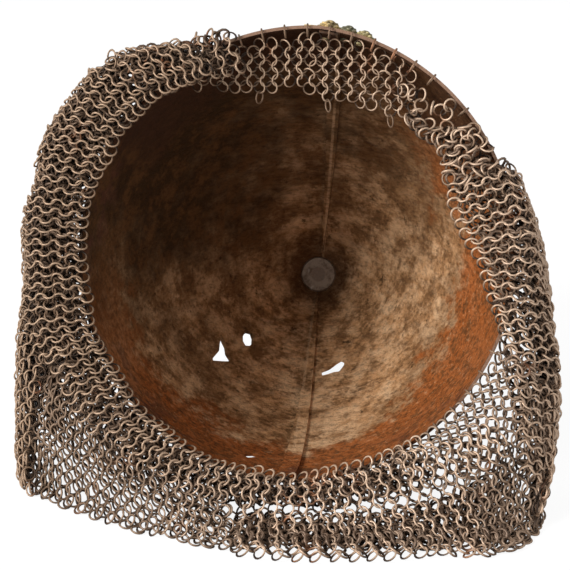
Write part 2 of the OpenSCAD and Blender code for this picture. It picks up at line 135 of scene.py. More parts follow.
class Graph:
    """The node tree of one material, built from an empty tree."""

    def __init__(self, name: str) -> None:
        """Makes a material and clears its nodes.

        Args:
            name: of the material.
        """
        self.material = bpy.data.materials.new(name)
        self.material.use_nodes = True
        self.tree = self.material.node_tree
        self.tree.nodes.clear()

    def add(self, kind: str, settings: dict, inputs: dict) -> bpy.types.Node:
        """Adds any node.

        Args:
            kind: the node's type.
            settings: its properties, set first.
            inputs: values, colours, sockets or Socks by input name or number.
        Returns:
            The node.
        """
        node = self.tree.nodes.new(kind)
        for key, value in settings.items():
            setattr(node, key, value)
        for key, value in inputs.items():
            if isinstance(value, Sock):
                value = value.socket
            if isinstance(value, bpy.types.NodeSocket):
                self.tree.links.new(value, node.inputs[key])
            else:
                target = node.inputs[key]
                target.default_value = (*value, 1.0) if self.is_colour(target, value) else value
        return node

    @staticmethod
    def is_colour(target: bpy.types.NodeSocket, value: object) -> bool:
        """Whether value is three numbers that go into a colour input."""
        return target.type == "RGBA" and isinstance(value, tuple) and len(value) == 3

    def place(self) -> bpy.types.NodeSocket:
        """The surface's own coordinates, in metres."""
        return self.add("ShaderNodeTexCoord", {}, {}).outputs["Object"]

    def vector(self, operation: str, *values: object) -> bpy.types.Node:
        """Adds a Vector Math node with those inputs in order."""
        return self.add("ShaderNodeVectorMath", {"operation": operation}, dict(enumerate(values)))

    def dot(self, point: bpy.types.NodeSocket, direction: Array) -> Sock:
        """How far point reaches along a fixed direction."""
        return Sock(self, self.vector("DOT_PRODUCT", point, tuple(direction)).outputs["Value"])

    def noise(self, point: bpy.types.NodeSocket, scale: float, detail: float, rough: float,
              stretch: Point = (1, 1, 1)) -> Sock:
        """Layered noise.

        Args:
            point: where it is read.
            scale: patches per metre.
            detail: octaves.
            rough: share that each octave keeps.
            stretch: factors on the three axes of point.
        Returns:
            Noise about 0.5.
        """
        if stretch != (1, 1, 1):
            point = self.vector("MULTIPLY", point, stretch).outputs[0]
        made = self.add("ShaderNodeTexNoise", {},
                        {"Vector": point, "Scale": scale, "Detail": detail, "Roughness": rough})
        return Sock(self, made.outputs[0])

    def cells(self, point: bpy.types.NodeSocket, scale: float) -> bpy.types.Node:
        """A Voronoi node with cells of 1/scale metres."""
        return self.add("ShaderNodeTexVoronoi", {}, {"Vector": point, "Scale": scale})

    def mix(self, share: "Sock | float", below: object, above: object) -> bpy.types.NodeSocket:
        """Blends two colours, above showing by share."""
        node = self.add("ShaderNodeMix", {"data_type": "RGBA"}, {0: share, 6: below, 7: above})
        return node.outputs[2]

    def bump(self, height: Sock, distance: float, strength: float) -> bpy.types.NodeSocket:
        """A bumped normal, height times distance in metres."""
        node = self.add("ShaderNodeBump", {},
                        {"Height": height, "Distance": distance, "Strength": strength})
        return node.outputs[0]

    def finish(self, **inputs: object) -> bpy.types.Material:
        """Ends the tree in a Principled shader.

        Args:
            inputs: its inputs by name, with underscores for spaces.
        Returns:
            The material.
        """
        named = {key.replace("_", " "): value for key, value in inputs.items()}
        shader = self.add("ShaderNodeBsdfPrincipled", {}, named)
        self.add("ShaderNodeOutputMaterial", {}, {0: shader.outputs[0]})
        return self.material


# The helmet's own frame


@dataclass(frozen=True)
class Helm:
    """Place and size of the skull, as the model has them.

    lap_edge is how far the left plate's edge lies beyond the middle at the rim, and stand is
    the point of the floor, below the mouth, that places on the mail are measured from.
    """

    centre: Point = (2.0 * MM, -58.7253 * MM, 120.5 * MM)
    tilt: float = math.radians(24)
    roll: float = math.radians(4)
    half_w: float = 110 * MM
    half_l: float = 115 * MM
    depth: float = 200 * MM
    plate: float = 1.6 * MM
    lap_edge: float = 8.6 * MM
    stand: Point = (2.0 * MM, -105.5 * MM, 0.0)

    @property
    def arc_r(self) -> float:
        """Radius of the mouth's two arcs."""
        return (self.half_w + self.half_l**2 / self.half_w) / 2

    @property
    def arc_off(self) -> float:
        """How far each arc's centre lies beyond the middle plane."""
        return self.arc_r - self.half_w

    @property
    def apex_way(self) -> Array:
        """Direction from the mouth to the apex."""
        return np.array([0, math.cos(self.tilt), -math.sin(self.tilt)])

    @property
    def brow_way(self) -> Array:
        """Direction from the mouth's centre to its highest point."""
        return np.array([0, math.sin(self.tilt), math.cos(self.tilt)])

    def rim_point(self, angle: Array, outside: Array, behind: Array) -> Array:
        """Points about the rim: the oval's own radius at each angle, moved along the axis.

        Args:
            angle: seen from the front, radians.
            outside: distance outside the plate.
            behind: distance from the edge towards the apex.
        Returns:
            One point a row.
        """
        own = angle + self.roll
        near = -np.sign(np.cos(own)) * self.arc_off * np.cos(own)
        reach = near + np.sqrt(near**2 - self.arc_off**2 + (self.arc_r + outside) ** 2)
        outward = np.cos(angle)[:, None] * RIGHT + np.sin(angle)[:, None] * self.brow_way
        return np.array(self.centre) + reach[:, None] * outward + behind[:, None] * self.apex_way


HELM = Helm()


# Finishes


class SkullPlaces:
    """Where a point of the skull lies, and the noises that break up its zones, as sockets."""

    def __init__(self, g: Graph) -> None:
        """Reads a point's place: h deep from the rim, x to the right and v to the brow.

        Args:
            g: the tree that the nodes go into.
        """
        p = g.place()
        self.own = g.vector("SUBTRACT", p, HELM.centre).outputs[0]
        self.h = g.dot(self.own, HELM.apex_way)
        self.x = g.dot(self.own, RIGHT)
        self.v = g.dot(self.own, HELM.brow_way)
        self.clouds = g.noise(p, 22, 5, 0.6)
        self.mottle = g.noise(p, 75, 6, 0.65)
        self.grain = g.noise(p, 420, 4, 0.7)
        self.streaks = g.noise(p, 60, 5, 0.7, (0.45, 1, 2.6))
        self.spots = g.noise(p, 160, 3, 0.5)
        self.grit = g.noise(p, 300, 5, 0.75, (0.6, 1, 1.5))
        self.edge = (self.clouds - 0.5) * 0.09 + (self.mottle - 0.5) * 0.07


@dataclass(frozen=True)
class SkullRust:
    """Rusted plate: tan and dark mottling inside, partly painted light and shade, orange rust by the
    rim, dark iron outside.
    """

    dark: Colour = (0.042, 0.0190, 0.0055)
    brown: Colour = (0.130, 0.055, 0.017)
    tan: Colour = (0.600, 0.315, 0.138)
    pale: Colour = (0.820, 0.530, 0.300)
    orange: Colour = (0.400, 0.108, 0.020)
    purple: Colour = (0.105, 0.036, 0.021)
    # The next two colours are painted shade: a ring round the apex disc and a band by the brow rim.
    apex_shade_colour: Colour = (0.075, 0.028, 0.008)
    band: Colour = (0.050, 0.019, 0.008)
    pits: Colour = (0.018, 0.008, 0.003)
    cut: Colour = (0.030, 0.013, 0.007)
    copper: Colour = (0.300, 0.175, 0.115)
    outer: Colour = (0.060, 0.038, 0.026)
    outer_rust: Colour = (0.15, 0.062, 0.022)
    outer_grey: Colour = (0.16, 0.13, 0.105)

    def mottled(self, g: Graph, at: SkullPlaces, bright: Sock) -> bpy.types.NodeSocket:
        """The inside's mottling.

        Args:
            g: the tree.
            at: places and noises.
            bright: 0 on the dark left and 1 on the tan right, partly the rust's own tone and partly
                painted shade on the left and painted light on the right.
        Returns:
            Its colour.
        """
        colour = g.mix(bright, self.dark, self.tan)
        streaked = (at.streaks + at.mottle * 0.8).step(0.78, 1.12) * bright
        colour = g.mix(streaked * 0.85, colour, self.pale)
        colour = g.mix((at.mottle + at.grain * 0.45).step(0.80, 0.58) * 0.75, colour, self.brown)
        return g.mix((at.spots * 0.7 + at.grain * 0.5).step(0.50, 0.38) * 0.8, colour, self.dark)

    def rusted(self, g: Graph, at: SkullPlaces, zone: Sock, rusty: Sock,
               colour: bpy.types.NodeSocket) -> bpy.types.NodeSocket:
        """Orange rust by the lower rim with purple stains, painted shade in a ring round the disc and in
        a band by the rim at the brow.

        Args:
            g: the tree.
            at: places and noises.
            zone: depth from the rim, less on the right, with a broken edge.
            rusty: 1 where the orange rust lies.
            colour: what lies below.
        Returns:
            The colour with them.
        """
        colour = g.mix(rusty * 0.92, colour, self.orange)
        plum = (at.clouds + at.mottle * 0.6).step(0.84, 0.95) * (at.h + at.edge).step(0.075, 0.03)
        colour = g.mix(plum * 0.85, colour, self.purple)
        flecks = rusty * (at.grain + at.spots * 0.6).step(0.84, 0.68)
        colour = g.mix(flecks * 0.75, colour, self.brown)
        radial = (at.x * at.x + at.v * at.v) ** 0.5
        # Painted shade in a ring round the apex disc, in its recess.
        apex_shade = (radial + (at.mottle - 0.5) * 0.022).step(0.025, 0.014) * at.h.step(0.12, 0.16)
        colour = g.mix(apex_shade * 0.75, colour, self.apex_shade_colour)
        # Painted shade in a band by the rim at the brow, under the mail.
        rim_shade = (at.x * 2.5 + at.v * 8 + (at.mottle - 0.5) * 0.4).step(0.02, 0.30)
        rim_shade = rim_shade * (at.h + at.edge * 0.8).step(0.074, 0.044)
        colour = g.mix(rim_shade * 0.88, colour, self.band)
        border = zone.step(0.092, 0.072) * (1 - rusty) * at.x.step(0.0, 0.06)
        return g.mix(border * at.mottle.step(0.35, 0.6) * 0.6, colour, self.brown)

    @staticmethod
    def lap_highlight(at: SkullPlaces, rusty: Sock) -> Sock:
        """A painted highlight on the lit edge of the lap, which runs from brow over apex to nape.

        Args:
            at: places and noises.
            rusty: where rust hides it.
        Returns:
            1 on the edge.
        """
        side = at.v.step(-1 * MM, 1 * MM) * (2.6 * MM) - 1.3 * MM
        joint = at.x * math.cos(HELM.roll) - at.v * math.sin(HELM.roll)
        joint = joint - (1 - at.h / HELM.depth) * HELM.lap_edge
        away = (joint - side + (at.mottle - 0.5) * (1 * MM)).size()
        # Noise that breaks the painted highlight into patches.
        shows_through = (at.grain * 0.5 + at.clouds).step(0.60, 0.85)
        return away.step(1.1 * MM, 0.4 * MM) * shows_through * (1 - rusty)

    def shell(self, g: Graph, at: SkullPlaces) -> bpy.types.NodeSocket:
        """The outside's colour: dark iron with rust clouds and grey rubbed spots."""
        rust = (at.clouds + at.grain * 0.4).step(0.62, 0.86)
        colour = g.mix(rust * 0.75, self.outer, self.outer_rust)
        return g.mix((at.mottle + at.spots * 0.5).step(0.86, 1.02) * 0.5, colour, self.outer_grey)

    @staticmethod
    def outward(g: Graph, at: SkullPlaces) -> Sock:
        """1 where the surface faces away from the helmet's axis.

        Args:
            g: the tree.
            at: places and noises.
        Returns:
            That mask.
        """
        normal = g.add("ShaderNodeNewGeometry", {}, {}).outputs["Normal"]
        from_axis = g.vector("MULTIPLY", at.own, (1.0, 0.35, 1.0)).outputs[0]
        away = g.vector("NORMALIZE", from_axis).outputs[0]
        return Sock(g, g.vector("DOT_PRODUCT", normal, away).outputs["Value"]).step(-0.1, 0.15)

    def material(self) -> bpy.types.Material:
        """Builds the material.

        Returns:
            The material of both plates.
        """
        g = Graph("skull_rust")
        at = SkullPlaces(g)
        # Lighter to the right and lower down: partly the tan rust, partly painted light, with painted
        # shade on the upper left.
        bright = (at.x * 4.6 - at.v * 5.2 + (at.clouds - 0.5) * 1.4).step(-0.62, 0.42)
        zone = at.h + at.edge - at.x.over(0.0) * 0.42
        rusty = zone.step(0.072, 0.052) * (at.x * 4 - at.v * 6).step(-0.50, 0.30)
        colour = self.rusted(g, at, zone, rusty, self.mottled(g, at, bright))
        # Painted highlight along the edge of the lap.
        colour = g.mix(self.lap_highlight(at, rusty) * 0.45, colour, self.pale)
        colour = g.mix((at.grit - 0.5).step(0.06, -0.16) * 0.5, colour, self.pits)
        colour = g.mix((at.grit - 0.5).step(0.06, 0.20) * bright * 0.4, colour, self.pale)
        colour = g.mix(self.outward(g, at), colour, self.shell(g, at))
        rim = at.h.step(0.9 * MM, 0.1 * MM)
        colour = g.mix(rim * 0.8, colour, self.cut)
        # Painted highlight on the rim's edge at the top and right, which is also made glossier.
        painted_light = rim * (1 - at.grain.step(0.62, 0.74) * 0.7) * (at.v * 8 + at.x * 6).step(-0.35, 0.2)
        colour = g.mix(painted_light * 0.9, colour, self.copper)
        rough = 0.86 - at.mottle.step(0.5, 0.8) * 0.14 - painted_light * 0.3
        height = at.grain * 0.5 + at.mottle * 0.7 + at.spots * 0.35 + at.clouds * 1.2 + at.grit * 0.5
        return g.finish(Base_Color=colour, Roughness=rough, Normal=g.bump(height, 2.2 * MM, 0.85),
                        Specular_IOR_Level=0.18)


@dataclass(frozen=True)
class MailSteel:
    """Dull steel wire: arcs that stand out are painted bright as a highlight and those behind dark as
    shade, and some rings rusted.
    """

    name: str = "mail_steel"
    # wire is the ring's own colour; bright is the painted highlight on arcs that stand out and dark the
    # painted shade on those behind.
    wire: Colour = (0.220, 0.152, 0.102)
    bright: Colour = (0.500, 0.388, 0.292)
    dark: Colour = (0.030, 0.018, 0.011)
    rust: Colour = (0.30, 0.125, 0.055)
    browner: Colour = (0.86, 0.75, 0.65)
    paler: Colour = (1.45, 1.34, 1.26)

    def material(self) -> bpy.types.Material:
        """Builds the material. A cell pattern as wide as a ring gives each its own tone.

        The left of the skirt is browner and darker, as painted shade, and its right and hem paler, as
        painted light.

        Returns:
            The material.
        """
        g = Graph(self.name)
        p = g.place()
        painted_light_height = Sock(g, g.add("ShaderNodeAttribute", {"attribute_name": "painted_light_height"}, {}).outputs["Fac"])
        ring = Sock(g, g.cells(p, 150).outputs["Color"])
        patches = g.noise(p, 26, 3, 0.5)
        grain = g.noise(p, 900, 3, 0.6)
        out = painted_light_height + (ring - 0.5) * 0.25
        # Painted shade on the arcs that lie behind.
        colour = g.mix(out.step(-0.42, 0.12), self.dark, self.wire)
        rusted = (patches * 0.9 + ring * 0.5 + grain * 0.2).step(0.96, 1.14)
        colour = g.mix(rusted * 0.7, colour, self.rust)
        # Painted highlight on the arcs that stand out.
        colour = g.mix((out + grain * 0.5).step(0.30, 0.78) * 0.8, colour, self.bright)
        # Painted shade on the left of the skirt and painted light on its right and hem.
        kept = g.vector("MULTIPLY", colour, self.browner).outputs[0]
        painted_light = g.vector("MULTIPLY", colour, self.paler).outputs[0]
        colour = g.mix((g.dot(p, RIGHT) * 6 - g.dot(p, UP) * 2).step(-0.9, 0.15), kept, painted_light)
        rough = 0.52 - out.step(-0.1, 0.5) * 0.14 + grain * 0.15
        return g.finish(Base_Color=colour, Roughness=rough, Metallic=0.35,
                        Normal=g.bump(grain, 0.12 * MM, 0.5))


@dataclass(frozen=True)
class WasherIron:
    """Worn grey iron with pale scratches and a brown edge."""

    grey: Colour = (0.310, 0.235, 0.175)
    pale: Colour = (0.52, 0.47, 0.41)
    brown: Colour = (0.10, 0.055, 0.030)

    def material(self) -> bpy.types.Material:
        """Builds the material from fine scratches and broad stains.

        Returns:
            The material.
        """
        g = Graph("washer_iron")
        p = g.place()
        stains = g.noise(p, 190, 5, 0.65)
        scratches = g.noise(p, 420, 3, 0.6, (1, 1, 0.15))
        colour = g.mix(stains.step(0.45, 0.66) * 0.7, self.grey, self.brown)
        colour = g.mix(scratches.step(0.60, 0.74) * 0.7, colour, self.pale)
        return g.finish(Base_Color=colour, Roughness=0.42 + stains * 0.3, Metallic=0.6,
                        Normal=g.bump(stains + scratches * 0.5, 0.6 * MM, 0.6))


@dataclass(frozen=True)
class FinialIron:
    """Turned iron under old rust, and grey at the tang's end in the washer."""

    iron: Colour = (0.055, 0.040, 0.030)
    rust: Colour = (0.17, 0.070, 0.026)
    grey: Colour = (0.310, 0.245, 0.190)
    tang_h: float = 190 * MM
    tang_r: float = 7.07 * MM

    def material(self) -> bpy.types.Material:
        """Builds the material from turning marks and rust patches.

        Returns:
            The material.
        """
        g = Graph("finial_iron")
        p = g.place()
        patches = g.noise(p, 55, 6, 0.65)
        grain = g.noise(p, 520, 4, 0.65)
        colour = g.mix((patches + grain * 0.35).step(0.62, 0.82) * 0.85, self.iron, self.rust)
        own = g.vector("SUBTRACT", p, HELM.centre).outputs[0]
        x, v = g.dot(own, RIGHT), g.dot(own, HELM.brow_way)
        tang = g.dot(own, HELM.apex_way).step(self.tang_h + 0.5 * MM, self.tang_h - 0.5 * MM)
        tang = tang * (x * x + v * v).step(1.2 * self.tang_r**2, self.tang_r**2)
        colour = g.mix(tang * (1 - patches * 0.3), colour, self.grey)
        return g.finish(Base_Color=colour, Roughness=0.55 + patches * 0.3, Metallic=0.3,
                        Normal=g.bump(grain + patches, 0.9 * MM, 0.6))


@dataclass(frozen=True)
class WornBrass:
    """Brass whose gilding or patina is worn off the high places."""

    name: str
    metal: Colour
    patina: Colour
    cover: float

    def material(self) -> bpy.types.Material:
        """Builds the material. cover is the share that the patina keeps.

        Returns:
            The material.
        """
        g = Graph(self.name)
        p = g.place()
        patches = g.noise(p, 150, 5, 0.62)
        grain = g.noise(p, 900, 3, 0.6)
        shows_through = 0.95 - self.cover * 0.7
        kept = (patches + grain * 0.3).step(shows_through, shows_through - 0.2)
        colour = g.mix(1 - kept, self.metal, self.patina)
        return g.finish(Base_Color=colour, Roughness=0.42 + patches * 0.3, Metallic=0.4,
                        Normal=g.bump(grain + patches, 0.3 * MM, 0.35))


class Finish(Enum):
    """The finishes of the helmet's own pieces, each with its own values."""

    SKULL = SkullRust()
    MAIL = MailSteel()
    MAIL_DULL = MailSteel("mail_dull", (0.165, 0.115, 0.079), (0.31, 0.235, 0.175),
                          (0.030, 0.018, 0.011), (0.22, 0.090, 0.040))
    # A darker copy of the mail steel: painted shade for the layers that lie below.
    MAIL_PAINTED_SHADE = MailSteel("mail_painted_shade", (0.090, 0.060, 0.040), (0.18, 0.13, 0.095),
                          (0.020, 0.012, 0.007), (0.12, 0.05, 0.022))
    WASHER = WasherIron()
    FINIAL = FinialIron()
    GILT = WornBrass("gilt_brass", (0.80, 0.60, 0.28), (0.22, 0.17, 0.09), 0.25)
    GREEN = WornBrass("green_brass", (0.52, 0.48, 0.30), (0.20, 0.19, 0.12), 0.55)
    PALE = WornBrass("pale_brass", (0.74, 0.63, 0.33), (0.30, 0.26, 0.15), 0.30)


class Finishes:
    """Makes each finish's material once."""

    def __init__(self) -> None:
        """Starts with none made."""
        self.made: dict[Finish, bpy.types.Material] = {}

    def get(self, finish: Finish) -> bpy.types.Material:
        """Finds a material, and makes it the first time.

        Args:
            finish: whose material it is.
        Returns:
            The material.
        """
        if finish not in self.made:
            self.made[finish] = finish.value.material()
        return self.made[finish]


# Meshes


def unit(v: Array) -> Array:
    """Rows of v at length 1."""
    return v / np.linalg.norm(v, axis=-1, keepdims=True)


def catmull_rom(points: Array, t: Array) -> Array:
    """Smooth curve through points: the cubic with tangents half the neighbours' distance.

    Args:
        points: (..., n, 3) control points, extended in line beyond both ends.
        t: (k,) places from 0 to n - 1.
    Returns:
        (..., k, 3) points on the curve.
    """
    n = points.shape[-2] - 1
    first = 2 * points[..., :1, :] - points[..., 1:2, :]
    last = 2 * points[..., -1:, :] - points[..., -2:-1, :]
    full = np.concatenate([first, points, last], axis=-2)
    i = np.clip(np.floor(t).astype(int), 0, n - 1)
    f = (t - i)[:, None]
    a, b, c, d = (full[..., i + k, :] for k in range(4))
    return 0.5 * (2 * b + (c - a) * f + (2 * a - 5 * b + 4 * c - d) * f**2
                  + (3 * b - a - 3 * c + d) * f**3)


def drift(shaky: np.random.Generator, shape: tuple[int, int], size: float, cell: int = 5) -> Array:
    """Smooth random shifts over a grid: coarse random ones, blended by a smooth curve.

    Args:
        shaky: where they come from.
        shape: of the grid.
        size: standard deviation of the coarse shifts.
        cell: grid steps from one coarse shift to the next.
    Returns:
        (*shape, 3) shifts.
    """
    coarse = shaky.normal(0, size, (shape[1] // cell + 2, shape[0] // cell + 2, 3))
    columns = catmull_rom(coarse, np.arange(shape[0]) / cell).transpose(1, 0, 2)
    return catmull_rom(columns, np.arange(shape[1]) / cell)


def mesh_object(name: str, points: Array, faces: Array) -> bpy.types.Object:
    """Makes a smooth-shaded object from points and four-cornered faces.

    Args:
        name: of the object and its mesh.
        points: (n, 3), in metres.
        faces: (m, 4) numbers of points.
    Returns:
        The object, linked to the scene.
    """
    mesh = bpy.data.meshes.new(name)
    mesh.vertices.add(len(points))
    mesh.vertices.foreach_set("co", points.astype(np.float32).ravel())
    mesh.loops.add(faces.size)
    mesh.loops.foreach_set("vertex_index", faces.astype(np.int32).ravel())
    mesh.polygons.add(len(faces))
    mesh.polygons.foreach_set("loop_start", np.arange(0, faces.size, 4, dtype=np.int32))
    mesh.polygons.foreach_set("use_smooth", np.full(len(faces), True))
    mesh.update(calc_edges=True)
    made = bpy.data.objects.new(name, mesh)
    bpy.context.scene.collection.objects.link(made)
    return made


def grid_faces(around: int, rows: int, closed: bool) -> Array:
    """Faces between the points of a grid that closes on itself around.

    Args:
        around: points around.
        rows: points in each row from one end to the other.
        closed: whether the rows close on themselves too.
    Returns:
        (m, 4) numbers of points.
    """
    i, j = np.meshgrid(np.arange(around), np.arange(rows if closed else rows - 1), indexing="ij")
    after, above = (i + 1) % around, (j + 1) % rows
    corners = [i * rows + j, after * rows + j, after * rows + above, i * rows + above]
    return np.stack(corners, -1).reshape(-1, 4)


def settle(piece: bpy.types.Object, material: bpy.types.Material,
           body: str = "helmet", solid: str = "") -> None:
    """Dresses a piece, puts it on the body that it rides on, and hides the solid that it stands for.

    Args:
        piece: a new object.
        material: what it is made of.
        body: what it moves with.
        solid: the node that it replaces, if any.
    """
    piece.data.materials.append(material)
    if solid:
        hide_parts(solid)
    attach(piece, body)
    log.info("%s: %d faces", piece.name, len(piece.data.polygons))


# The mail


@dataclass(frozen=True)
class RingShape:
    """Size and facets of a mail ring."""

    radius: float = 3.25 * MM
    wire: float = 0.56 * MM
    around: int = 14
    across: int = 4
    uneven: float = 0.035

    def rings(self, name: str, centre: Array, normal: Array, along: Array, face: Array,
              shaky: np.random.Generator) -> bpy.types.Object:
        """Closed rings: a point turns about each normal at radius, its wire circle about it.

        The mesh carries an attribute of how far each point stands out along its face, in radii, from
        which the material paints the arcs that stand out bright as a highlight and those behind dark as
        shade.

        Args:
            name: of the object.
            centre: (n, 3) ring centres.
            normal: (n, 3) directions square to each ring.
            along: (n, 3) directions in or near each ring's plane.
            face: (n, 3) directions out of the mail's face.
            shaky: gives each ring its own slightly oval shape.
        Returns:
            One object that holds every ring.
        """
        normal = unit(normal)
        forth = unit(along - (along * normal).sum(-1, keepdims=True) * normal)
        side = np.cross(normal, forth)
        turn = np.arange(self.around) * (2 * math.pi / self.around)
        roll = np.arange(self.across) * (2 * math.pi / self.across)
        size = 1 + shaky.normal(0, self.uneven, (2, len(centre), 1, 1))
        long, wide = np.cos(turn)[:, None] * size[0], np.sin(turn)[:, None] * size[1]
        spoke = long * forth[:, None] + wide * side[:, None]
        reach = self.radius + self.wire * np.cos(roll)
        points = (centre[:, None, None] + spoke[:, :, None] * reach[:, None]
                  + normal[:, None, None] * (self.wire * np.sin(roll))[:, None])
        one = grid_faces(self.around, self.across, True)
        faces = one + np.arange(len(centre))[:, None, None] * self.around * self.across
        made = mesh_object(name, points.reshape(-1, 3), faces.reshape(-1, 4))
        out = ((points - centre[:, None, None]) * face[:, None, None]).sum(-1) / self.radius
        painted_light_height = made.data.attributes.new("painted_light_height", "FLOAT", "POINT")
        painted_light_height.data.foreach_set("value", out.astype(np.float32).ravel())
        return made


@dataclass(frozen=True)
class Station:
    """One way down the mail at an angle along the rim.

    way holds the points that it passes: pairs say how far outside the plate and behind its
    edge a point lies at that angle, triples are places from the floor point under the rim.
    All are in millimetres.
    """

    angle: float
    way: tuple[tuple[float, ...], ...]

    def points(self) -> Array:
        """Places the way.

        Returns:
            (n, 3) points in metres.
        """
        angle = np.radians([self.angle])
        found = [HELM.rim_point(angle, np.array([p[0] * MM]), np.array([p[1] * MM]))[0]
                 if len(p) == 2 else np.array(p) * MM + np.array(HELM.stand) for p in self.way]
        return np.array(found)


@dataclass(frozen=True)
class Sheet:
    """A stretch of mail: columns of rings down a family of ways, each linked to the next.

    Neighbouring columns lie half a pitch apart and lean to opposite sides, which gives the
    waves of four-to-one mail. Linked rings stay reach apart, so where the columns part, the
    rings close up along them.

    It runs from the angle first to last and, along each way, from the point numbered top to
    end. Its columns are a step apart on the line numbered even. lift and fold move it out of
    its face. shake and wander shift its rings, one by one and in patches, and nod and tumble
    turn them. lost is the share of rings that are missing, and solid the node it stands for.
    There are so many folds to a full turn, flat below flat_z and at their height by folded_z.
    """

    name: str
    stations: tuple[Station, ...]
    first: float
    last: float
    seed: int
    top: float = 0.0
    end: float = 9.0
    even: float = 0.0
    step: float = 3.15 * MM
    pitch: float = 8.9 * MM
    reach: float = 5.35 * MM
    lean: float = math.radians(33)
    lift: float = 0.0
    fold: float = 0.0
    shake: float = 0.2 * MM
    wander: float = 0.7 * MM
    nod: float = math.radians(5)
    tumble: float = 0.07
    lost: float = 0.0
    finish: Finish = Finish.MAIL
    ring: RingShape = field(default_factory=RingShape)
    solid: str = ""
    folds: float = 14.0
    fold_rows: int = 5
    flat_z: float = 6 * MM
    folded_z: float = 36 * MM
    closest: float = 0.3
    floor_room: float = 0.1 * MM
    fine_along: int = 1500
    fine_down: int = 241

    def ways(self, angle: Array) -> Array:
        """Control points at each angle, blended smoothly between the stations.

        Args:
            angle: (c,) degrees along the rim.
        Returns:
            (c, n, 3) points.
        """
        angles = np.array([s.angle for s in self.stations], float)
        place = np.interp(angle, angles, np.arange(len(angles)))
        held = np.array([s.points() for s in self.stations])
        return catmull_rom(held.transpose(1, 0, 2), place).transpose(1, 0, 2)

    def columns(self) -> tuple[Array, Array]:
        """Columns, evenly spaced on one line of the sheet, which is measured in fine steps.

        Returns:
            angle: (c,) degrees along the rim.
            way: (c, k, 3) fine points down each column.
        """
        fine = np.linspace(self.first, self.last, self.fine_along)
        line = catmull_rom(self.ways(fine), np.array([self.even]))[:, 0]
        run = np.concatenate([[0], np.cumsum(np.linalg.norm(np.diff(line, axis=0), axis=1))])
        angle = np.interp(np.arange(0, run[-1], self.step), run, fine)
        ways = self.ways(angle)
        end = min(self.end, ways.shape[1] - 1)
        return angle, catmull_rom(ways, np.linspace(self.top, end, self.fine_down))

    def lattice(self) -> tuple[Array, Array, Array]:
        """Ring centres on the columns.

        Half the pitch and the distance to the next column are the legs of a right triangle
        whose long side is reach. The pitch stays between its own value and a share of it.

        Returns:
            angle: (c,) of each column.
            centre: (c, r, 3) ring centres.
            there: (c, r) whether the column reaches that far.
        """
        angle, way = self.columns()
        side = np.gradient(way, axis=0)
        down = unit(np.gradient(way, axis=1))
        apart = np.linalg.norm(side - (side * down).sum(-1, keepdims=True) * down, axis=-1)
        least = (self.closest * self.pitch) ** 2
        pitch = 2 * np.sqrt(np.clip(self.reach**2 - apart**2, least, None))
        pitch = np.minimum(pitch, self.pitch)
        length = np.linalg.norm(np.diff(way, axis=1), axis=-1)
        count = np.concatenate([np.zeros((len(angle), 1)),
                                np.cumsum(length / pitch[:, 1:], axis=1)], axis=1)
        wanted = np.arange(int(count.max()) + 1)[None] + 0.5 * (np.arange(len(angle)) % 2)[:, None]
        t = np.arange(way.shape[1])
        place = np.array([np.interp(w, c, t) for w, c in zip(wanted, count)])
        i = np.clip(np.floor(place).astype(int), 0, way.shape[1] - 2)
        f = (place - i)[..., None]
        lines = np.arange(len(angle))[:, None]
        centre = way[lines, i] * (1 - f) + way[lines, i + 1] * f
        return angle, centre, wanted <= count[:, -1:]

    @staticmethod
    def directions(centre: Array) -> tuple[Array, Array, Array]:
        """Unit vectors at each ring.

        Args:
            centre: (c, r, 3) ring centres.
        Returns:
            Down the column, across the columns, and out of the mail's face.
        """
        down = unit(np.gradient(centre, axis=1) + 1e-9)
        side = np.gradient(centre, axis=0)
        side = unit(side - (side * down).sum(-1, keepdims=True) * down + 1e-12)
        return down, side, np.cross(down, side)

    def build(self, finishes: Finishes) -> None:
        """Makes the sheet's rings, which ride on the helmet and stand for its solid, if any.

        Folds are a sine of the angle, which grows over the first rows and fades out towards
        the floor. No ring sinks into the floor.

        Args:
            finishes: the shared materials.
        """
        angle, centre, there = self.lattice()
        shaky = np.random.default_rng(self.seed)
        face = self.directions(centre)[2]
        grown = np.clip(np.arange(centre.shape[1]) / self.fold_rows, 0, 1)
        wave = np.sin(np.radians(self.folds * angle))[:, None] * grown
        rise = np.clip((centre[..., 2] - self.flat_z) / (self.folded_z - self.flat_z), 0, 1)
        centre = centre + face * (self.lift - self.fold * wave * rise)[..., None]
        centre = centre + drift(shaky, there.shape, self.wander)
        centre = centre + shaky.normal(0, self.shake, centre.shape)
        down, side, face = self.directions(centre)
        turn = np.where(np.arange(len(angle)) % 2 == 0, -1.0, 1.0)[:, None, None]
        lean = self.lean + shaky.normal(0, self.nod, centre.shape[:2])[..., None]
        normal = unit(face * np.cos(lean) + turn * side * np.sin(lean)
                      + shaky.normal(0, self.tumble, centre.shape))
        low = self.ring.wire + self.ring.radius * np.sqrt(np.clip(1 - normal[..., 2] ** 2, 0, 1))
        centre[..., 2] = np.maximum(centre[..., 2], low + self.floor_room)
        pick = there & (shaky.random(there.shape) >= self.lost)
        piece = self.ring.rings(self.name, centre[pick], normal[pick], down[pick], face[pick],
                                shaky)
        settle(piece, finishes.get(self.finish), solid=self.solid)


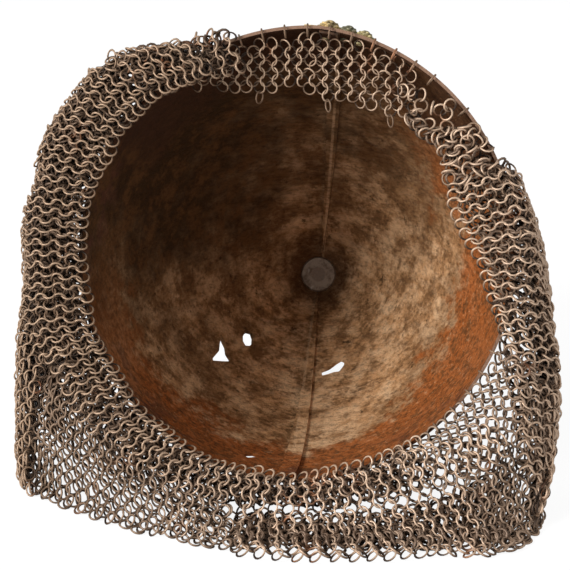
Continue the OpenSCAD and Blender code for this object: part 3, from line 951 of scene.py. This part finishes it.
@dataclass
class Skirt:
    """The mail skirt: its stretches from the left brow round the nape to the right brow.

    Each family of ways is the face that one or more stretches follow. A stray is an angle, how
    far outside the plate and how far behind its edge, in degrees and millimetres.
    """

    left: tuple[Station, ...] = (
        Station(107, ((-15, -1), (-12, -3), (-9, -4), (-7, -4.5), (-5, -5), (-3, -5), (-1, -5),
                      (0, -4))),
        Station(118, ((-12, -4), (-8, -5.5), (-4, -6), (-1, -6), (2, -5.5), (5, -4), (7, 0), (8, 6))),
        Station(127, ((-8, -5), (-2, -6), (4, -6), (10, -6.5), (15, -6), (-91, 92, 207),
                      (-92, 108, 188), (-91, 128, 164))),
        Station(134, ((-4, -5), (2, -5.5), (8, -6), (14, -6.5), (20, -7), (-107, 92, 199),
                      (-105, 110, 170), (-104, 124, 138))),
    )
    spread: tuple[Station, ...] = (
        Station(134, ((-4, -5), (-98, 76, 204), (-107, 92, 199), (-105, 110, 170), (-104, 124, 138),
                      (-104, 134, 111))),
        Station(150, ((-2.5, -4.5), (-119, 69, 178), (-130, 84, 169), (-131, 98, 130), (-131, 102, 80),
                      (-131, 98, 40))),
        Station(165, ((-2, -4.5), (-127, 54, 150), (-135, 68, 141), (-136, 78, 92), (-136, 74, 42),
                      (-135, 60, 20))),
        Station(180, ((-2, -4.5), (-132, 42, 125), (-139, 56, 112), (-139, 56, 50), (-139, 42, 4),
                      (-137, 20, 1))),
        Station(205, ((-2, -4.5), (-119, 19, 81), (-131, 24, 67), (-137, 20, 25), (-134, 10, 3),
                      (-118, -4, 1))),
        Station(230, ((-2, -4.5), (-86, -1, 43), (-98, -5, 29), (-104, -9, 9), (-103, -17, 1),
                      (-91, -26, 1))),
        Station(250, ((-2, -4.5), (-43, -11, 23), (-51, -18, 12), (-57, -26, 4), (-57, -34, 1),
                      (-48, -41, 1))),
        Station(270, ((-2, -4.5), (0, -13, 16), (0, -19, 9), (2, -28, 3), (3, -38, 1), (6, -49, 1))),
        Station(290, ((-2, -4.5), (44, -11, 23), (50, -17, 12), (57, -26, 4), (61, -34, 1),
                      (66, -43, 1))),
        Station(310, ((1, -2), (84, -1, 41), (94, -7, 27), (100, -15, 10), (104, -24, 1),
                      (102, -36, 1))),
        Station(330, ((3, 0), (109, 10, 67), (117, 10, 58), (123, 8, 31), (123, -3, 6), (118, -20, 1))),
        Station(338, ((3, -1), (112, 13, 81), (120, 20, 73), (127, 24, 43), (125, 9, 7), (120, -10, 1))),
    )
    hem: tuple[Station, ...] = (
        Station(190, ((-129, 34, 70), (-134, 29, 48), (-137, 25, 26), (-139, 24, 9), (-137, 20, 1.5))),
        Station(198, ((-128.5, 32, 61), (-132.4, 27, 43.6), (-135.4, 22, 23.4), (-138, 27.6, 8),
                      (-135.5, 15, 1.5))),
        Station(207, ((-115, 15, 54.1), (-118.2, 12, 37.2), (-118.6, 8, 22.5), (-120, 7, 5),
                      (-117.5, -2, 1.5))),
        Station(216, ((-100.6, 6, 43.5), (-102.6, 3, 29.4), (-101.3, -1, 18.2), (-100.5, -4, 5),
                      (-97.5, -14, 1.5))),
        Station(225, ((-87.1, -4, 34.6), (-87.1, -6, 23.5), (-83.9, -9, 14.1), (-82, -14, 4),
                      (-78, -24.5, 1.5))),
        Station(234, ((-71.6, -9, 26.7), (-70.3, -12, 18.4), (-66.9, -16, 10.8), (-64.5, -21, 3.5),
                      (-61, -31.5, 1.5))),
        Station(243, ((-56.1, -14, 21.1), (-54.2, -18, 14.6), (-51.3, -22, 9.1), (-49, -26, 3),
                      (-45.5, -37, 1.5))),
        Station(252, ((-39.5, -17, 17.9), (-38, -22, 13), (-35.4, -28, 8.7), (-33, -31, 3),
                      (-29.5, -41.5, 1.5))),
        Station(258, ((-28, -19, 16), (-27, -24, 11), (-24, -30, 7), (-21, -34, 3), (-18, -44, 1.5))),
    )
    corner: tuple[Station, ...] = (
        Station(116, ((-48, 75, 206), (-52, 77, 212), (-57, 80, 216), (-64, 86, 217))),
        Station(122, ((-55, 74, 202), (-63, 75, 210), (-70, 78, 214), (-79, 86, 213))),
        Station(128, ((-64, 72, 198), (-75, 73, 206), (-85, 77, 211), (-96, 86, 210))),
        Station(134, ((-74, 71, 193), (-86, 71, 200), (-97, 75, 204), (-104, 84, 203))),
    )
    fold: tuple[Station, ...] = (
        Station(296, ((55, -11, 37), (57, -14, 34), (59, -17, 30), (61, -18, 24))),
        Station(305, ((70, -7, 38), (72, -10, 34), (74, -13, 30), (77, -14, 25))),
        Station(315, ((86, -3, 43), (88, -6, 39), (91, -8, 35), (95, -10, 30))),
        Station(325, ((100, 2, 50), (102, -1, 47), (106, -3, 44), (110, -5, 40))),
    )
    right: tuple[Station, ...] = (
        Station(306, ((116, -5, 29), (119, -4, 26), (122, -1, 22), (125, 2, 18), (124, -4, 12),
                      (122, -10, 6))),
        Station(314, ((114, 2, 43), (119, 3, 40), (123, 6, 36), (127, 10, 31), (127, 5, 20),
                      (124, -2, 9))),
        Station(322, ((112, 8, 58), (117, 9, 55), (123, 12, 51), (128, 17, 45), (128, 12, 30),
                      (127, 6, 14))),
        Station(330, ((109, 13, 72), (115, 13, 69), (121, 15, 65), (128, 21, 60), (129, 18, 41),
                      (129, 12, 22))),
        Station(338, ((4, -6), (12, -6), (20, -3), (129, 32, 74), (130, 28, 47), (130, 20, 22))),
        Station(350, ((-11, -6), (-4, -6.5), (7, -6), (126, 44, 94), (130, 43, 62), (131, 36, 30))),
        Station(360, ((-19, -6), (-9, -6.5), (5, -6.5), (121, 52, 112), (129, 57, 76), (131, 52, 36))),
        Station(370, ((-26, -6), (-11, -6.5), (5, -6.5), (118, 61, 128), (128, 68, 94), (131, 66, 52))),
        Station(384, ((-27, -6), (-12, -6.5), (3, -6.5), (112, 73, 148), (122, 84, 116), (128, 86, 76))),
    )
    brow: tuple[Station, ...] = (
        Station(384, ((-26, -5), (-21, -6), (-16, -6.5), (-11, -6.5), (-6, -6.5), (-2, -6))),
        Station(392, ((-22, -4.5), (-19, -6), (-16, -6.5), (-13, -6.5), (-10, -6), (-8, -5))),
        Station(398, ((-21, -4), (-19, -5), (-17.5, -5), (-16, -5), (-14, -5), (-13, -4))),
        Station(404, ((-24, -3), (-23, -4), (-22, -4), (-21, -4), (-20, -4), (-19.5, -3))),
        Station(414, ((-23, -2), (-22, -2), (-21, -3), (-20, -3), (-19, -3), (-18, -2))),
    )
    stray_seed: int = 41
    strays: tuple[Point, ...] = (
        (413, -12, -3), (411, -16, -4), (406, -11, -4), (404, -10, -4), (405, -6, -5), (408, -13, -3),
        (396, -4, -5), (396, -8, -6), (395, -6, -5), (397, -11, -6), (394, -10, -6), (398, -7, -5),
        (393, -5, -6), (392, -4, -5), (390, -3, -6), (401, -14, -5), (415, -15, -4), (418, -16, -3),
    )

    def loose(self, finishes: Finishes) -> None:
        """Single rings that lie every way in and near the torn end of the right mail.

        Args:
            finishes: the shared materials.
        """
        shaky = np.random.default_rng(self.stray_seed)
        angle, outside, behind = np.array(self.strays, float).T
        centre = HELM.rim_point(np.radians(angle), outside * MM, behind * MM)
        face = np.tile(-HELM.apex_way, (len(angle), 1))
        normal = face + shaky.normal(0, 0.7, face.shape)
        along = shaky.normal(0, 1, face.shape)
        piece = RingShape().rings("rings_right_strays", centre, normal, along, face, shaky)
        settle(piece, finishes.get(Finish.MAIL))

    def sheets(self) -> tuple[Sheet, ...]:
        """The stretches: those seen, each with the layers below it, whose rings are painted darker as
        shade.

        Returns:
            All of them, from the left brow to the right one.
        """
        shown = partial(Sheet, even=1.0, step=2.8 * MM)
        # The layers below take the darker copy of the mail steel, as painted shade.
        under = partial(
            Sheet, finish=Finish.MAIL_PAINTED_SHADE, lean=math.radians(36), tumble=0.2, step=2.5 * MM,
            pitch=7.4 * MM, reach=4.6 * MM, ring=RingShape(wire=0.75 * MM, around=12, across=3))
        net = partial(
            Sheet, finish=Finish.MAIL_DULL, lean=math.radians(22), tumble=0.05,
            wander=0.3 * MM, shake=0.12 * MM, reach=4.6 * MM, ring=RingShape(3.2 * MM, 0.62 * MM))
        left, corner, spread, hem = self.left, self.corner, self.spread, self.hem
        right, brow = self.right, self.brow
        return (
            Sheet("rings_left_brow", left, 109, 124, 3, even=2.0, tumble=0.12),
            under("rings_left_brow_under", left, 112, 134, 4, top=0.8, even=2.5, lift=-3 * MM),
            Sheet("rings_left_corner", corner, 116, 134, 33, even=1.5, tumble=0.1),
            under("rings_left_corner_under", corner, 117, 134, 34, even=1.5, lift=-3 * MM),
            shown("rings_left_temple", spread, 134.5, 160, 5, solid="mail_left_temple"),
            shown("rings_left_cheek", spread, 160, 209, 7, end=4.1, fold=1.2 * MM,
                  solid="mail_left_cheek"),
            shown("rings_left_band", spread, 209, 262, 35, end=1.45),
            net("rings_left_hem", hem, 198, 258, 36, even=3.0),
            net("rings_left_hem_inner", hem, 202, 254, 38, even=3.0, end=1.5, lift=-5 * MM),
            under("rings_left_under", spread, 134.5, 192, 9, top=0.1, end=3.2, even=1.0,
                  lift=-3.2 * MM),
            under("rings_left_low", spread, 190, 262, 8, top=0.1, end=1.3, even=1.0, lift=-3 * MM),
            under("rings_left_inner", spread, 136, 215, 10, top=0.2, end=2.2, even=1.0,
                  lift=-6.2 * MM),
            Sheet("rings_nape", spread, 262, 306, 11, even=1.0, lift=1 * MM, solid="mail_nape"),
            Sheet("rings_nape_left", spread, 250, 262, 40, top=1.9, end=3.3, even=1.0),
            under("rings_nape_top", spread, 262, 300, 13, top=0.05, end=1.45, even=1.0,
                  lift=-2.4 * MM),
            under("rings_nape_top_inner", spread, 215, 296, 14, top=0.3, end=1.35, even=1.0,
                  lift=-4.6 * MM),
            under("rings_nape_under", spread, 262, 318, 15, top=2.2, end=4.2, even=3.0,
                  lift=-2.2 * MM),
            under("rings_nape_inner", spread, 262, 312, 16, top=2.3, end=3.8, even=3.0,
                  lift=-3.6 * MM),
            net("rings_right_net", spread, 306, 337, 17, even=1.5, reach=4.9 * MM,
                solid="mail_right_cheek"),
            Sheet("rings_right_fold", self.fold, 296, 325, 39, even=1.5, step=2.8 * MM),
            Sheet("rings_right_temple", right, 306, 384, 19, even=1.5, solid="mail_right_temple"),
            under("rings_right_under", right, 308, 384, 21, top=0.4, even=2.0, lift=-3.2 * MM),
            Sheet("rings_right_brow", brow, 384, 414, 23, even=2.0, tumble=0.4, step=2.5 * MM,
                  lean=math.radians(50), shake=0.6 * MM),
            under("rings_right_brow_under", brow, 384, 412, 24, even=2.0, lift=-2.6 * MM),
        )

    def build(self, finishes: Finishes) -> None:
        """Makes every stretch and the loose rings."""
        for sheet in self.sheets():
            sheet.build(finishes)
        self.loose(finishes)


@dataclass(frozen=True)
class Fringe:
    """The ragged fringe of linked rings that hangs inside the mouth from the brow.

    Its rings lie near where the solid has them, and those of the columns that a dangling ring
    hangs from lie exactly there. torn gives its lower edge as x and height in millimetres.
    """

    columns: int = 35
    rows: int = 6
    step: float = 3.2 * MM
    pitch: float = 7.4 * MM
    lean: float = math.radians(27)
    swing_in: float = math.radians(20)
    hinge_y: float = -12.159 * MM
    hinge_z: float = 222.631 * MM
    rim_link: float = 3.2 * MM
    ring_r: float = 3.15 * MM
    wire: float = 0.42 * MM
    rim_gap: float = 0.5 * MM
    seed: int = 31
    seen_wire: float = 0.465 * MM
    shake: float = 0.26 * MM
    flatter: Point = (1, 0.3, 1)
    turned: float = 0.16
    nod: float = 0.12
    carrying: tuple[int, ...] = (10, 21, 31)
    torn: tuple[tuple[float, float], ...] = (
        (-56, 200), (-40, 191), (-18, 190), (-5, 197), (10, 188), (34, 184), (56, 179),
    )

    def drop(self, x: Array) -> Array:
        """How far the wall inside lies below its height over the middle.

        The wall is a circle about the right half's axis, seen along the helmet's own axis.

        Args:
            x: (n,) places across the mouth.
        Returns:
            (n,) drops.
        """
        own = np.append(x, 0.0) - HELM.half_l * math.sin(HELM.roll)
        reach = HELM.arc_r - HELM.plate
        high = np.sqrt(reach**2 - (np.abs(own) + HELM.arc_off) ** 2) * math.cos(HELM.roll)
        high = high - own * math.sin(HELM.roll)
        return high[-1] - high[:-1]

    def hung(self, x: Array, top: Array, foot: Array) -> tuple[Array, Array]:
        """Which rings of the lattice swing with the fringe and which join it to the rim.

        A ring swings where it clears the rim rings and, swung in, the wall, over its whole
        width, and lies above the torn edge. It joins where it only clears the wall at rest.

        Args:
            x: (c, 1) places of the columns.
            top: (c, r) how far each ring's top lies below the hinge.
            foot: (c, r) height of each ring's foot.
        Returns:
            Two (c, r) masks.
        """
        half = self.ring_r * math.cos(self.lean) + self.wire
        wall = self.drop(x[:, 0])[:, None]
        nearest = np.max([self.drop(x[:, 0] + side) for side in (-half, 0, half)], 0)[:, None]
        clear = np.maximum(
            nearest * math.cos(HELM.tilt) + self.rim_link + self.wire + 0.4 * MM,
            (nearest + self.wire + 0.7 * MM) / math.cos(HELM.tilt + self.swing_in))
        torn_x, torn_z = np.array(self.torn).T * MM
        edge = np.interp(x, torn_x, torn_z) - self.pitch / 2
        joins = (top <= clear) & (top > wall * math.cos(HELM.tilt) + 0.2 * MM)
        return (top > clear) & (foot > edge), joins

    def build(self, finishes: Finishes) -> None:
        """Makes the fringe, whose rings hang uneven and turned, and swings as one.

        The rings that join it to the rim rings stay with the helmet.

        Args:
            finishes: the shared materials.
        """
        shaky = np.random.default_rng(self.seed)
        shape = RingShape(self.ring_r, self.seen_wire, uneven=0)
        i, j = np.meshgrid(np.arange(self.columns), np.arange(-1, self.rows), indexing="ij")
        x = (i - (self.columns - 1) / 2) * self.step
        top = self.rim_link + self.wire + self.rim_gap + (j + 0.5 * (i % 2)) * self.pitch
        below = top + self.ring_r + self.wire
        foot = self.hinge_z - below - self.ring_r - self.wire
        hangs, joins = self.hung(x[:, :1], top, foot)
        for name, chosen, body, solid in (
                ("rings_front_fringe", hangs, "front_fringe", "front_mail"),
                ("rings_front_top", joins, "helmet", "")):
            count = int(chosen.sum())
            loose = 1.0 - np.isin(i[chosen], self.carrying)
            turn = np.where(i[chosen] % 2 == 0, -self.lean, self.lean)
            turn = turn + shaky.normal(0, self.turned, count) * loose
            centre = np.stack([x[chosen] + HELM.stand[0], np.full(count, self.hinge_y),
                               self.hinge_z - below[chosen]], -1)
            shift = shaky.normal(0, self.shake, centre.shape) * loose[:, None] * self.flatter
            nod = shaky.normal(0, self.nod, count) * loose
            normal = np.stack([np.sin(turn), -np.cos(turn), nod], -1)
            down = np.tile([0.0, 0.0, -1.0], (count, 1))
            face = np.tile([0.0, -1.0, 0.0], (count, 1))
            piece = shape.rings(name, centre + shift, normal, down, face, shaky)
            settle(piece, finishes.get(Finish.MAIL), body, solid)


# The ornament, the iron and the studio


@dataclass(frozen=True)
class Petals:
    """A rosette's petals on the brow plate: a wide tier, a smaller one turned to its gaps, a knob.

    Its place is across to the right of the middle, outside the plate and behind its edge.
    profile has rows from foot to knob, each a share of the radius, a height in millimetres at
    the drawn radius, how deep its gaps are, and whether it is turned to the other's gaps.
    """

    name: str
    across: float
    radius: float
    finish: Finish
    slot: str
    petals: int = 8
    around: int = 96
    gap: float = 0.34
    outside: float = 1.8 * MM
    behind: float = 12.9 * MM
    tipped_back: float = 0.10
    drawn_r: float = 6.4 * MM
    profile: tuple[tuple[float, ...], ...] = (
        (0.42, -3.2, 0, 0), (0.48, -1.6, 0.3, 0), (0.95, -0.3, 1, 0), (1.0, 0.2, 1, 0),
        (0.98, 0.8, 1, 0), (0.80, 1.0, 1, 0), (0.52, 1.1, 0.6, 0), (0.50, 1.5, 1, 1),
        (0.70, 1.8, 1, 1), (0.68, 2.4, 1, 1), (0.46, 2.7, 0.5, 1), (0.38, 3.2, 0, 0),
        (0.26, 3.7, 0, 0), (0.10, 4.0, 0, 0), (0.01, 4.0, 0, 0),
    )

    def build(self, finishes: Finishes) -> None:
        """Makes the petals: a turned profile whose radius swings with the petals.

        Args:
            finishes: the shared materials.
        """
        turn = np.arange(self.around) * (2 * math.pi / self.around)
        wide, high, deep, turned = np.array(self.profile).T
        lobes = np.abs(np.cos(self.petals / 2 * (turn[:, None] + turned * math.pi / self.petals)))
        reach = self.radius * wide * (1 - self.gap * deep * (1 - lobes))
        angle = np.array([math.acos(self.across / HELM.half_l) - HELM.roll])
        foot = HELM.rim_point(angle, np.array([self.outside]), np.array([self.behind]))[0]
        outward = unit(math.cos(angle[0]) * RIGHT + math.sin(angle[0]) * HELM.brow_way)
        up = unit(outward + self.tipped_back * HELM.apex_way)
        right = unit(np.cross(up, HELM.apex_way))
        spoke = np.cos(turn)[:, None] * right + np.sin(turn)[:, None] * np.cross(up, right)
        rise = high * MM * self.radius / self.drawn_r
        points = foot + reach[..., None] * spoke[:, None] + rise[:, None] * up
        faces = grid_faces(self.around, len(self.profile), False)
        piece = mesh_object(self.name, points.reshape(-1, 3), faces)
        settle(piece, finishes.get(self.finish))


@dataclass
class Ornament:
    """The three rosettes' petals."""

    rosettes: tuple[Petals, ...] = (
        Petals("petals_left", 4.4 * MM, 6.6 * MM, Finish.GILT, "gilt_brass"),
        Petals("petals_centre", 14.2 * MM, 5.6 * MM, Finish.GREEN, "green_brass"),
        Petals("petals_right", 22.6 * MM, 5.4 * MM, Finish.PALE, "pale_brass"),
    )

    def build(self, finishes: Finishes) -> None:
        """Makes the petals of each rosette."""
        for rosette in self.rosettes:
            rosette.build(finishes)


@dataclass
class Ironwork:
    """The solids that stay as the model has them, each with its finish."""

    finishes: dict[str, Finish] = field(default_factory=lambda: {
        "skull_left": Finish.SKULL, "skull_right": Finish.SKULL, "finial": Finish.FINIAL,
        "apex_washer": Finish.WASHER, "brow_plate": Finish.GILT, "rosette_left": Finish.GILT,
        "rosette_centre": Finish.GREEN, "rosette_right": Finish.PALE,
        **{f"rim_rings_{side}": Finish.MAIL for side in ("front", "left", "right", "nape")},
        **{f"dangling_ring_{place}": Finish.MAIL for place in ("left", "centre", "right")},
    })

    def dress(self, finishes: Finishes) -> None:
        """Gives each solid its material.

        Args:
            finishes: the shared materials.
        """
        for node, finish in self.finishes.items():
            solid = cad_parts[node]
            solid.data.materials.clear()
            solid.data.materials.append(finishes.get(finish))
            log.info("%s: %s", node, finish.name.lower())


@dataclass
class Studio:
    """White floor and backdrop, soft lamps, and the camera."""

    camera_place: Point = (0.0684, -0.9018, 0.4283)
    lens: float = 113.7
    shift: tuple[float, float] = (-0.0193, -0.0579)
    floor_half: float = 6.0
    floor_gap: float = 0.2 * MM
    floor_glow: float = 1.13
    glow_share: float = 0.8
    sky: float = 0.43
    lamps: tuple[tuple[str, Point, float, float], ...] = (
        ("key", (-1.25, -1.05, 0.95), 0.8, 35),
        ("fill", (1.2, -0.9, 0.7), 1.0, 2.5),
    )

    def floor(self) -> None:
        """A wide white floor that shows white to the camera and keeps a light shadow."""
        half = self.floor_half
        corner = np.array([[-half, -half, 0], [half, -half, 0], [half, half, 0], [-half, half, 0]])
        piece = mesh_object("studio_floor", corner - self.floor_gap * UP, np.array([[0, 1, 2, 3]]))
        g = Graph("studio_white")
        seen = g.add("ShaderNodeLightPath", {}, {}).outputs["Is Camera Ray"]
        matt = g.add("ShaderNodeBsdfDiffuse", {}, {"Color": (0.86, 0.86, 0.86)})
        white = {"Color": (1.0, 1.0, 1.0), "Strength": self.floor_glow}
        glow = g.add("ShaderNodeEmission", {}, white)
        share = Sock(g, seen) * self.glow_share
        both = g.add("ShaderNodeMixShader", {}, {0: share, 1: matt.outputs[0], 2: glow.outputs[0]})
        g.add("ShaderNodeOutputMaterial", {}, {0: both.outputs[0]})
        piece.data.materials.append(g.material)

    def lamp(self, name: str, place: Point, size: float, watts: float) -> None:
        """A square lamp that looks at the middle of the mouth.

        Args:
            name: of the lamp.
            place: where it stands.
            size: its side in metres.
            watts: its power.
        """
        data = bpy.data.lights.new(name, "AREA")
        data.shape = "SQUARE"
        data.size = size
        data.energy = watts
        lamp = bpy.data.objects.new(name, data)
        lamp.location = place
        way = Vector(HELM.centre) - Vector(place)
        lamp.rotation_euler = way.to_track_quat("-Z", "Y").to_euler()
        bpy.context.scene.collection.objects.link(lamp)

    def world(self) -> None:
        """Even surroundings that light the object softly and show white to the camera."""
        world = bpy.data.worlds.new("studio")
        bpy.context.scene.world = world
        world.use_nodes = True
        tree = world.node_tree
        tree.nodes.clear()
        path = tree.nodes.new("ShaderNodeLightPath")
        ray = tree.nodes.new("ShaderNodeMath")
        ray.operation = "MULTIPLY_ADD"
        tree.links.new(path.outputs["Is Camera Ray"], ray.inputs[0])
        ray.inputs[1].default_value = 1 - self.sky
        ray.inputs[2].default_value = self.sky
        ground = tree.nodes.new("ShaderNodeBackground")
        ground.inputs[0].default_value = (1.0, 1.0, 1.0, 1.0)
        tree.links.new(ray.outputs[0], ground.inputs[1])
        out = tree.nodes.new("ShaderNodeOutputWorld")
        tree.links.new(ground.outputs[0], out.inputs[0])

    def camera(self) -> None:
        """The camera, at the photograph's angle."""
        data = bpy.data.cameras.new("view")
        data.lens = self.lens
        data.sensor_width = 36.0
        data.shift_x, data.shift_y = self.shift
        data.clip_start, data.clip_end = 0.05, 50.0
        camera = bpy.data.objects.new("view", data)
        camera.location = self.camera_place
        way = Vector(HELM.centre) - Vector(self.camera_place)
        camera.rotation_euler = way.to_track_quat("-Z", "Y").to_euler()
        bpy.context.scene.collection.objects.link(camera)
        bpy.context.scene.camera = camera

    def build(self) -> None:
        """Makes the whole studio."""
        self.floor()
        self.world()
        for name, place, size, watts in self.lamps:
            self.lamp(name, place, size, watts)
        self.camera()
        bpy.context.scene.view_settings.view_transform = "Standard"


def main() -> None:
    """Builds and dresses the helmet, then the studio."""
    logging.basicConfig(level=logging.INFO, format="%(message)s")
    finishes = Finishes()
    Ironwork().dress(finishes)
    Ornament().build(finishes)
    Skirt().build(finishes)
    Fringe().build(finishes)
    Studio().build()


if __name__ == "__main__":
    main()
